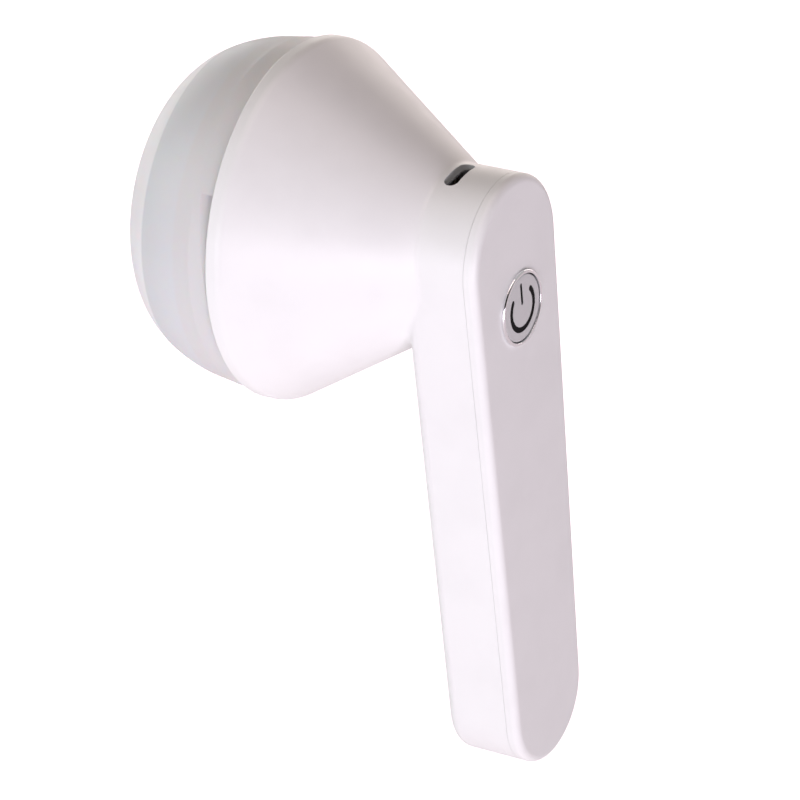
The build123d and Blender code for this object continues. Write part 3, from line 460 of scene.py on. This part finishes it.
FINISHES = {
    "shell_white": moulded("shell_white", WHITE, 0.34),
    "dome_frosted": frosted_dome(),
    "ring_chrome": chrome_ring(),
    "button_silver": silver_cap(),
    "symbol_black": gloss_black(),
    "switch_black": moulded("switch_black", (0.022, 0.022, 0.024), 0.5, 0.15, 0.006),
    "plunger_tan": moulded("plunger_tan", (0.42, 0.27, 0.13), 0.45, 0.15, 0.005),
    "board_green": circuit_board("board_green", (0.012, 0.13, 0.045), (0.03, 0.24, 0.08)),
    "board_white": circuit_board("board_white", (0.82, 0.82, 0.79), (0.74, 0.72, 0.66)),
    "chip_black": moulded("chip_black", (0.018, 0.018, 0.02), 0.55, 0.12, 0.012),
    "usb_steel": brushed("usb_steel", (0.60, 0.60, 0.62), 0.3, (1, 1, 16)),
    "tongue_black": moulded("tongue_black", (0.014, 0.014, 0.015), 0.42, 0.15, 0.005),
    "connector_white": moulded("connector_white", (0.80, 0.77, 0.68), 0.42, 0.2, 0.006,
                               Subsurface_Weight=0.12, Subsurface_Scale=0.0008),
    "screw_steel": brushed("screw_steel", (0.58, 0.58, 0.60), 0.32, (14, 1, 1)),
    "spring_steel": brushed("spring_steel", (0.50, 0.50, 0.52), 0.24, (1, 3, 3)),
    "battery_foil": pouch_foil(),
    "foam_grey": pad_foam(),
    "wire_red": rubbery("wire_red", (0.50, 0.018, 0.015), 0.42),
    "wire_black": rubbery("wire_black", (0.016, 0.016, 0.018), 0.42),
    "carriage_white": moulded("carriage_white", (0.80, 0.79, 0.80), 0.5, 0.35, 0.012),
    "bush_ivory": moulded("bush_ivory", (0.80, 0.74, 0.58), 0.36, 0.2, 0.004,
                          Subsurface_Weight=0.15, Subsurface_Scale=0.0008),
    "seal_grey": rubbery("seal_grey", (0.16, 0.16, 0.165), 0.55),
    "led_yellow": led_phosphor(),
    "motor_steel": brushed("motor_steel", (0.62, 0.61, 0.59), 0.26, (1, 14, 1)),
    "endcap_black": moulded("endcap_black", (0.024, 0.024, 0.027), 0.5, 0.2, 0.01),
    "bearing_bronze": rough_metal("bearing_bronze", (0.56, 0.34, 0.13), 0.42, 0.14, 0.012),
    "magnet_grey": rough_metal("magnet_grey", (0.075, 0.075, 0.08), 0.6, 0.2, 0.02),
    "terminal_brass": brushed("terminal_brass", (0.80, 0.56, 0.22), 0.25, (14, 1, 1)),
    "core_steel": laminated_core(),
    "winding_copper": enamelled_copper(),
    "weight_steel": rough_metal("weight_steel", (0.40, 0.39, 0.375), 0.42, 0.16, 0.014),
}


def paint_frame():
    """Every CAD node takes the finish of its slot in the record."""
    for part in frame["record"]["subparts"]:
        mesh = frame["nodes"][part["node"]].data
        mesh.materials.clear()
        mesh.materials.append(FINISHES[part["material_slot"]].material)


# ---- pieces: the tools ----------------------------------------------------------------
def new_piece(name, mesh, slot, body=None, replaces=()):
    """A mesh in the row frame, with its slot's finish. Without a body it is attached to none."""
    piece = bpy.data.objects.new(name, mesh)
    scene.collection.objects.link(piece)
    mesh.materials.clear()
    mesh.materials.append(FINISHES[slot].material)
    if body:
        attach(piece, body)
    if replaces:
        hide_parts(*replaces)
    return piece


def finished_mesh(name, work, smooth=True, crease=35):
    """The mesh that was built in a bmesh, with its normals outwards."""
    bmesh.ops.recalc_face_normals(work, faces=work.faces)
    mesh = bpy.data.meshes.new(name)
    work.to_mesh(mesh)
    work.free()
    if smooth:
        mesh.shade_smooth()
        mesh.set_sharp_from_angle(angle=math.radians(crease))
    return mesh


def welded(name, mesh):
    """A copy of a wire's mesh with the seams at its ends closed."""
    work = bmesh.new()
    work.from_mesh(mesh)
    bmesh.ops.remove_doubles(work, verts=work.verts, dist=0.001 * MM)
    return finished_mesh(name, work, crease=60)


def tube_mesh(name, routes, radius, sides=4, closed=False):
    """Round wires along lists of points, with capped ends."""
    curve = bpy.data.curves.new(name, "CURVE")
    curve.dimensions = "3D"
    curve.bevel_depth = radius
    curve.bevel_resolution = sides
    curve.use_fill_caps = True
    for route in routes:
        spline = curve.splines.new("POLY")
        spline.points.add(len(route) - 1)
        for point, place in zip(spline.points, route):
            point.co = (*place, 1)
        spline.use_cyclic_u = closed
        spline.use_smooth = True
    holder = bpy.data.objects.new(name, curve)
    rough = bpy.data.meshes.new_from_object(holder)
    mesh = welded(name, rough)
    bpy.data.objects.remove(holder)
    bpy.data.curves.remove(curve)
    bpy.data.meshes.remove(rough)
    return mesh


def add_box(work, low, high, bevel):
    """A box with rounded edges."""
    low, high = Vector(low), Vector(high)
    place = Matrix.Translation((low + high) / 2) @ Matrix.Diagonal((*(high - low), 1))
    corners = bmesh.ops.create_cube(work, size=1, matrix=place)["verts"]
    edges = {edge for corner in corners for edge in corner.link_edges}
    bmesh.ops.bevel(work, geom=list(edges), offset=bevel, segments=2, profile=0.6,
                    affect="EDGES", clamp_overlap=True)


def add_prism(work, outline, place, thickness):
    """An outline in the place's own X and Y, made solid along its Z."""
    half = thickness / 2
    rings = [[work.verts.new(place @ Vector((x, y, z))) for x, y in outline]
             for z in (-half, half)]
    work.faces.new(rings[0])
    work.faces.new(rings[1][::-1])
    for index in range(len(outline)):
        after = (index + 1) % len(outline)
        work.faces.new((rings[0][index], rings[1][index], rings[1][after], rings[0][after]))


def add_loft(work, rings):
    """A capped skin over rings of points, all with the same number of them."""
    made = [[work.verts.new(point) for point in ring] for ring in rings]
    for ring, following in zip(made, made[1:]):
        for index in range(len(ring)):
            after = (index + 1) % len(ring)
            work.faces.new((ring[index], ring[after], following[after], following[index]))
    work.faces.new(made[0][::-1])
    work.faces.new(made[-1])


def ring_points(sides, radius_at, place):
    """Points round a place's own Z axis, at a radius that depends on the angle."""
    points = []
    for step in range(sides):
        angle = 2 * math.pi * step / sides
        radius = radius_at(angle)
        points.append(place @ Vector((radius * math.cos(angle), radius * math.sin(angle), 0)))
    return points


def circle(radius):
    """The radius, by angle, of a circle."""
    return lambda angle: radius


def squircle(half_x, half_y, power):
    """The radius, by angle, of a rounded rectangle."""
    def radius(angle):
        c, s = abs(math.cos(angle)) / half_x, abs(math.sin(angle)) / half_y
        return (c ** power + s ** power) ** (-1 / power)
    return radius


def add_dome(work, place, radius, height, foot=0.0, sides=16):
    """A drop of solder or a lens: a flattened cap, whose foot may flare by a share."""
    rows = 6
    rings = [ring_points(sides, circle(radius * (1 + foot)), place)]
    for row in range(1, rows):
        angle = row / rows * math.pi / 2
        lift = place @ Matrix.Translation((0, 0, height * math.sin(angle)))
        rings.append(ring_points(sides, circle(radius * math.cos(angle)), lift))
    add_loft(work, rings)


def facing(origin, out, up=(0, 0, 1)):
    """A matrix whose Z looks out and whose Y is as near up as it can be."""
    z = Vector(out).normalized()
    x = Vector(up).cross(z).normalized()
    return Matrix.Translation(origin) @ Matrix((x, z.cross(x), z)).transposed().to_4x4()


# ---- springs --------------------------------------------------------------------------
SPRING_WIRE = 0.3 * MM
BOLT_HEAD_RADIUS = 3.4 * MM
BOLT_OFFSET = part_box("guide_bolts")[1].y - BOLT_HEAD_RADIUS
SPRING_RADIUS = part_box("front_springs")[1].y - BOLT_OFFSET - SPRING_WIRE
CLOSED_TURNS = 1.0
CLOSE_PITCH = 2 * SPRING_WIRE * 1.04   # the closed turns almost touch
STEPS_PER_TURN = 28


def coil_route(x_from, x_to, turns, centre_y, centre_z):
    """A compression spring's wire: close turns at both ends, open ones between."""
    open_turns = turns - 2 * CLOSED_TURNS
    start, end = x_from + SPRING_WIRE, x_to - SPRING_WIRE
    open_pitch = (end - start - 2 * CLOSED_TURNS * CLOSE_PITCH) / open_turns
    route = []
    for step in range(round(turns * STEPS_PER_TURN) + 1):
        turn = step / STEPS_PER_TURN
        opened = min(max(turn - CLOSED_TURNS, 0), open_turns)
        x = start + (turn - opened) * CLOSE_PITCH + opened * open_pitch
        angle = 2 * math.pi * turn
        route.append((x, centre_y + SPRING_RADIUS * math.cos(angle),
                      centre_z + SPRING_RADIUS * math.sin(angle)))
    return route


def springs():
    """Each set's coils run between the shell's seats and the carriage."""
    for name, turns, first, last in (("front_springs", 5, "root", "carriage"),
                                     ("rear_springs", 6, "carriage", "root")):
        low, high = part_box(name)
        routes = [coil_route(low.x, high.x, turns, y, z)
                  for y in (-BOLT_OFFSET, BOLT_OFFSET) for z in (-BOLT_OFFSET, BOLT_OFFSET)]
        mesh = tube_mesh(name + "_wound", routes, SPRING_WIRE)
        coils = new_piece(name + "_wound", mesh, "spring_steel", replaces=[name])
        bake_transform(coils)


def flexing_leads():
    """The leads from the carriage to the board keep their CAD route."""
    for name, slot in (("motor_lead_red", "wire_red"), ("motor_lead_black", "wire_black"),
                       ("light_leads", "wire_black")):
        mesh = welded(name + "_flexing", frame["nodes"][name].data)
        wire = new_piece(name + "_flexing", mesh, slot, replaces=[name])
        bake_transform(wire)


# ---- light ring -----------------------------------------------------------------------
LED_CIRCLE, LED_HALF, LED_COUNT = 12.5 * MM, 1.5 * MM, 6
LED_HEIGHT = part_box("light_leds")[1].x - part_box("light_leds")[0].x
LED_SIDES = 32
LENS_RADIUS, LENS_DEPTH = 1.15 * MM, 0.22 * MM


def led_places():
    """Each LED's front, looking forward, with its own turn round the ring."""
    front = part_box("light_leds")[0].x
    for step in range(LED_COUNT):
        angle = math.radians(30 + 360 / LED_COUNT * step)
        out = Vector((0, math.sin(angle), math.cos(angle)))
        yield facing(Vector((front, 0, 0)) + out * LED_CIRCLE, (-1, 0, 0), out)


def led_housings():
    """White housings with a round bowl in the front and a groove round the middle."""
    outline = squircle(LED_HALF, LED_HALF, 12)
    soft = 0.08 * MM
    groove_back, groove_front = LED_HEIGHT * 0.55, LED_HEIGHT * 0.50

    def inset(angle):
        return outline(angle) - soft

    # each ring's depth behind the front, and its radius by angle
    rings = ((LED_HEIGHT, outline), (groove_back, outline), (groove_back, inset),
             (groove_front, inset), (groove_front, outline), (soft, outline), (0, inset),
             (0, circle(LENS_RADIUS + soft)), (soft, circle(LENS_RADIUS)),
             (LENS_DEPTH, circle(LENS_RADIUS - soft)))
    work = bmesh.new()
    for place in led_places():
        add_loft(work, [
            ring_points(LED_SIDES, radius_at, place @ Matrix.Translation((0, 0, -depth)))
            for depth, radius_at in rings])
    mesh = finished_mesh("led_housings", work)
    new_piece("led_housings", mesh, "connector_white", "carriage", ["light_leds"])


def led_lenses():
    work = bmesh.new()
    for place in led_places():
        seat = place @ Matrix.Translation((0, 0, -LENS_DEPTH + 0.01 * MM))
        add_dome(work, seat, LENS_RADIUS - 0.09 * MM, LENS_DEPTH * 0.7, sides=LED_SIDES)
    new_piece("led_lenses", finished_mesh("led_lenses", work), "led_yellow", "carriage")


def led_contacts():
    """Two solder fillets at each side of each LED."""
    work = bmesh.new()
    spread, width = 0.75 * MM, 0.8 * MM
    foot = [(0, 0), (0.42 * MM, 0), (0.26 * MM, 0.06 * MM), (0.1 * MM, 0.24 * MM), (0, 0.5 * MM)]
    for place in led_places():
        for side in (-1, 1):
            for shift in (-spread, spread):
                corner = Vector((side * LED_HALF, shift, -LED_HEIGHT))
                turn = Matrix(((side, 0, 0), (0, 0, 1), (0, 1, 0))).to_4x4()
                add_prism(work, foot, place @ Matrix.Translation(corner) @ turn, width)
    new_piece("led_contacts", finished_mesh("led_contacts", work), "usb_steel", "carriage")


# ---- charging socket ------------------------------------------------------------------
def usb_contacts():
    """Twelve gilt strips on each face of the tongue."""
    low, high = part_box("usb_tongue")
    middle = (low.x + high.x) / 2
    half_thick, width, proud, sunk = 0.35 * MM, 0.26 * MM, 0.03 * MM, 0.02 * MM
    count, pitch = 12, 0.5 * MM
    from_tip, length, shorter = 0.35 * MM, 4.2 * MM, 0.5 * MM
    work = bmesh.new()
    for side in (-1, 1):
        face = middle + side * half_thick
        x_low, x_high = sorted((face - side * sunk, face + side * proud))
        for step in range(count):
            y = (step - (count - 1) / 2) * pitch
            short = shorter if step in (1, 4, 7, 10) else 0.0
            add_box(work, (x_low, y - width / 2, high.z - length),
                    (x_high, y + width / 2, high.z - from_tip - short), 0.008 * MM)
    new_piece("usb_contacts", finished_mesh("usb_contacts", work), "terminal_brass", "root")


def usb_anchors():
    """Four folded tabs that hold the socket to the board."""
    low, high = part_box("usb_shell")
    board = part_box("main_board")[0].x
    inside, outside, length, width = 0.3 * MM, 0.25 * MM, 1.7 * MM, 0.9 * MM
    work = bmesh.new()
    for side in (-1, 1):
        edge = side * high.y
        y_low, y_high = sorted((edge - side * inside, edge + side * outside))
        for z in (low.z + 1.2 * MM, low.z + 4.2 * MM):
            add_box(work, (high.x - length, y_low, z), (board, y_high, z + width), 0.06 * MM)
    new_piece("usb_anchors", finished_mesh("usb_anchors", work), "usb_steel", "root")


# ---- board details --------------------------------------------------------------------
LEG_OUTLINE = [(x * MM, y * MM) for x, y in (
    (-0.05, 0.40), (-0.05, 0.52), (0.24, 0.52), (0.36, 0.13), (0.70, 0.13), (0.70, 0.0),
    (0.28, 0.0), (0.16, 0.40))]
# each chip's low and high y, then its low and high z, in millimetres
CHIPS = ((-6.5, -1.5, -25.5, -20.5), (2.0, 6.0, -24.5, -20.5))
LEG_PITCH, LEG_MARGIN = 0.65, 0.3   # in millimetres too
INDUCTOR_TOP, INDUCTOR_Z = 2.0 * MM, 5.5 * MM


def chip_legs():
    """Gull-wing legs along the two long sides of each chip."""
    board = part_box("main_board")[1].x
    work = bmesh.new()
    for y_low, y_high, z_low, z_high in CHIPS:
        gaps = round((z_high - z_low - 2 * LEG_MARGIN) / LEG_PITCH)
        for index in range(gaps + 1):
            z = (z_low + z_high) / 2 + (index - gaps / 2) * LEG_PITCH
            for edge, side in ((y_low, -1), (y_high, 1)):
                turn = Matrix(((0, 1, 0), (side, 0, 0), (0, 0, side))).to_4x4()
                place = Matrix.Translation((board, edge * MM, z * MM)) @ turn
                add_prism(work, LEG_OUTLINE, place, 0.28 * MM)
    new_piece("chip_legs", finished_mesh("chip_legs", work, smooth=False), "usb_steel", "root")


def coil_top():
    """The power inductor's wire, seen in the hollow of its ferrite."""
    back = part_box("main_board")[1].x
    wire, inner, pitch = 0.12 * MM, 0.75 * MM, 0.24 * MM
    centre = Vector((back + INDUCTOR_TOP + wire / 2, 0, INDUCTOR_Z))
    turns, steps = 5, 24
    route = []
    for step in range(turns * steps + 1):
        angle = 2 * math.pi * step / steps
        radius = inner + pitch * step / steps
        route.append(centre + Vector((0, radius * math.cos(angle), radius * math.sin(angle))))
    mesh = tube_mesh("inductor_wire", [route], wire, 2)
    new_piece("inductor_wire", mesh, "winding_copper", "root")


def solder_joints():
    """Drops of solder where leads end: on the board, the light ring and the motor."""
    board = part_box("main_board")[0].x
    leads_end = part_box("light_leads")[0].z
    on_root, on_carriage = bmesh.new(), bmesh.new()
    for y in (-0.35 * MM, 0.75 * MM):
        place = facing((board, y, leads_end + 0.45 * MM), (-1, 0, 0))
        add_dome(on_root, place, 0.52 * MM, 0.9 * MM, 0.3)
    low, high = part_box("motor_terminals")
    for z in (low.z + 0.2 * MM, high.z - 0.2 * MM):
        place = facing((high.x - 0.35 * MM, (low.y + high.y) / 2, z), (1, 0, 0))
        add_dome(on_carriage, place, 0.75 * MM, 1.1 * MM, 0.1)
    new_piece("board_solder", finished_mesh("board_solder", on_root), "usb_steel", "root")
    new_piece("motor_solder", finished_mesh("motor_solder", on_carriage), "usb_steel", "carriage")


# ---- battery --------------------------------------------------------------------------
def pouch_cell():
    """A crowned pouch with folded side seams and a thin sealed edge under its circuit."""
    low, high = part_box("battery_cell")
    centre = (low + high) / 2
    half_x, half_y = (high.x - low.x) / 2, (high.y - low.y) / 2
    seal, rounding = 2.2 * MM, 2.2 * MM
    body_top = high.z - seal
    length = body_top - low.z
    sides, steps = 64, 24
    # the frame's Y is a ring's x, and the frame's X is its y
    across = Matrix(((0, -1, 0), (1, 0, 0), (0, 0, 1))).to_4x4()

    def ring_at(z, wide, thick, power):
        place = Matrix.Translation((centre.x, 0, z)) @ across
        return ring_points(sides, squircle(wide, thick, power), place)

    rings = []
    for step in range(steps + 1):
        share = step / steps
        z = low.z + length * (0.5 - 0.5 * math.cos(math.pi * share))
        end = min(1.0, min(z - low.z, body_top - z) / rounding)
        full = math.sqrt(max(0.0, 1 - (1 - end) ** 2))
        crown = 0.93 + 0.07 * math.sin(math.pi * share)
        wide = half_y * (0.975 + 0.02 * full) - 0.25 * MM
        rings.append(ring_at(z, wide, half_x * crown * (0.42 + 0.58 * full), 5.5))
    for z, thick in ((body_top + 0.25 * MM, 0.5 * MM), (body_top + 0.5 * MM, 0.22 * MM),
                     (high.z, 0.2 * MM)):
        rings.append(ring_at(z, half_y - 0.9 * MM, thick, 9))
    work = bmesh.new()
    add_loft(work, rings)
    for side in (-1, 1):
        y_low, y_high = sorted((side * (half_y - 0.5 * MM), side * (half_y - 0.02 * MM)))
        add_box(work, (centre.x - half_x * 0.62, y_low, low.z + 1.5 * MM),
                (centre.x + half_x * 0.35, y_high, body_top - 1.2 * MM), 0.15 * MM)
    mesh = finished_mesh("pouch_cell", work)
    new_piece("pouch_cell", mesh, "battery_foil", "root", ["battery_cell"])


def cell_tabs():
    """The two nickel tabs between the pouch's sealed edge and its circuit."""
    low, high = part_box("battery_cell")
    centre_x = (low.x + high.x) / 2
    from_middle, half_width = 4.5 * MM, 1.5 * MM
    work = bmesh.new()
    for y in (-from_middle, from_middle):
        add_box(work, (centre_x + 0.18 * MM, y - half_width, high.z - 2.2 * MM),
                (centre_x + 0.3 * MM, y + half_width, high.z + 0.05 * MM), 0.02 * MM)
    new_piece("cell_tabs", finished_mesh("cell_tabs", work), "usb_steel", "root")


def foam_pads():
    """Die-cut foam between the shell and the pouch, flat where pressed, its edges bulging."""
    low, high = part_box("battery_pads")
    length, pressed = 12 * MM, 0.98
    bulging, rounding, waist = 0.03, 0.10, 0.02
    for index, z_low in enumerate((low.z, high.z - length)):
        work = bmesh.new()
        bmesh.ops.create_cube(work, size=2)
        bmesh.ops.subdivide_edges(work, edges=work.edges, cuts=12, use_grid_fill=True)
        half = Vector(((high.x - low.x) / 2, (high.y - low.y) / 2, length / 2))
        centre = Vector(((low.x + high.x) / 2, (low.y + high.y) / 2, z_low + length / 2))
        for vert in work.verts:
            u, v, w = vert.co
            bulge = 1 - bulging * u * u
            corner = 1 - rounding * max(0.0, (abs(v) ** 8 + abs(w) ** 8 - 1))
            waist_v, waist_w = 1 - waist * (1 - w * w), 1 - waist * (1 - v * v)
            vert.co = centre + corner * Vector((u * half.x * pressed, v * half.y * bulge * waist_v,
                                                w * half.z * bulge * waist_w))
        name = f"foam_pad_{index + 1}"
        pad = new_piece(name, finished_mesh(name, work), "foam_grey", "root", ["battery_pads"])


# ---- motor ----------------------------------------------------------------------------
ARM_ANGLES = (0, 120, 240)
ENAMELLED_WIRE = 0.19 * MM


def armature_coils():
    """Two layers of wire round each of the armature's arms."""
    low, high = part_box("armature_core")
    shaft_low, shaft_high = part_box("motor_shaft")
    axis_x = (shaft_low.x + shaft_high.x) / 2
    middle_y, half_y = (low.y + high.y) / 2, (high.y - low.y) / 2
    arm_half = 1.1 * MM
    first_row, row_pitch, layer_shift = 3.08 * MM, 0.39 * MM, 0.2 * MM
    routes = []
    for angle in ARM_ANGLES:
        turn = Matrix.Rotation(math.radians(angle), 4, "Y")
        for layer in range(2):
            gap = ENAMELLED_WIRE * (1.05 + 1.9 * layer)
            outline = squircle(arm_half + gap, half_y + gap, 14)
            for row in range(4 - layer):
                height = first_row + row_pitch * row + layer_shift * layer
                place = turn @ Matrix.Translation((0, 0, height))
                loop = ring_points(40, outline, place)
                routes.append([point + Vector((axis_x, middle_y, 0)) for point in loop])
    mesh = tube_mesh("armature_coils", routes, ENAMELLED_WIRE, 2, closed=True)
    new_piece("armature_coils", mesh, "winding_copper", "rotor", ["armature_windings"])


set_camera()
studio()
floor()
paint_frame()
springs()
flexing_leads()
led_housings()
led_lenses()
led_contacts()
usb_contacts()
usb_anchors()
chip_legs()
coil_top()
solder_joints()
pouch_cell()
cell_tabs()
foam_pads()
armature_coils()
